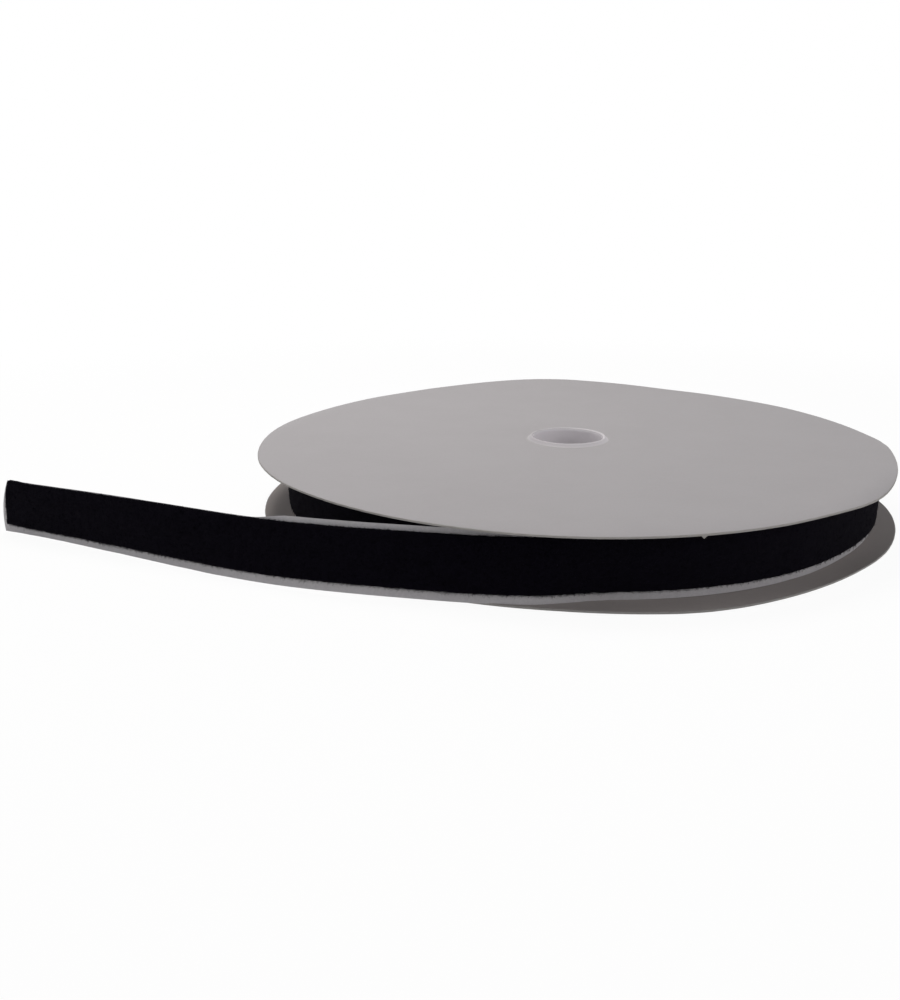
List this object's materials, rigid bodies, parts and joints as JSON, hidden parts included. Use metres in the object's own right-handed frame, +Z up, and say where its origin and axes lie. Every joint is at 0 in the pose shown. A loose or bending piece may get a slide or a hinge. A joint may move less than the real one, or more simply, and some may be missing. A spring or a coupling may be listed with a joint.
{
  "type": "hook and loop tape roll",
  "caption": "Flat flanged spool of black self-adhesive loop tape on a wider release liner, with a bored hub and a free tape end that swings out and a liner end that peels off.",
  "frame": {"origin": "on the spool's axis, on the table that the lower hub collar stands on", "axes": "+Z up along the spool's axis, -Y towards the side where the tape's free end leaves the roll, -X along that free end"},
  "size_m": [0.3733, 0.28, 0.0304],
  "materials": {
    "flange_card": "matte",
    "core_board": "matte",
    "hub_plastic": "satin",
    "loop_pile": "matte",
    "liner_paper": "satin"
  },
  "bodies": {
    "spool": {"lower_flange": "flange_card", "upper_flange": "flange_card", "core_tube": "core_board", "lower_hub_bush": "hub_plastic", "upper_hub_bush": "hub_plastic", "tape_pack": "loop_pile", "loop_tape_outer_turn": "loop_pile", "liner_outer_turn": "liner_paper"},
    "tape_tail": {"loop_tape_tail": "loop_pile", "liner_tail": "liner_paper"},
    "liner_end": {"liner_tab": "liner_paper"}
  },
  "joints": [
    {"name": "tail_swing", "type": "hinge", "parent": "spool", "child": "tape_tail", "pos_m": [0.01836, -0.13002, 0], "axis": [0, 0, 1], "range_deg": [0, 90]},
    {"name": "liner_peel", "type": "hinge", "parent": "tape_tail", "child": "liner_end", "pos_m": [-0.19117, -0.08877, 0.0134], "axis": [0.005, 0.0155, -0.9999], "range_deg": [0, 150]}
  ]
}
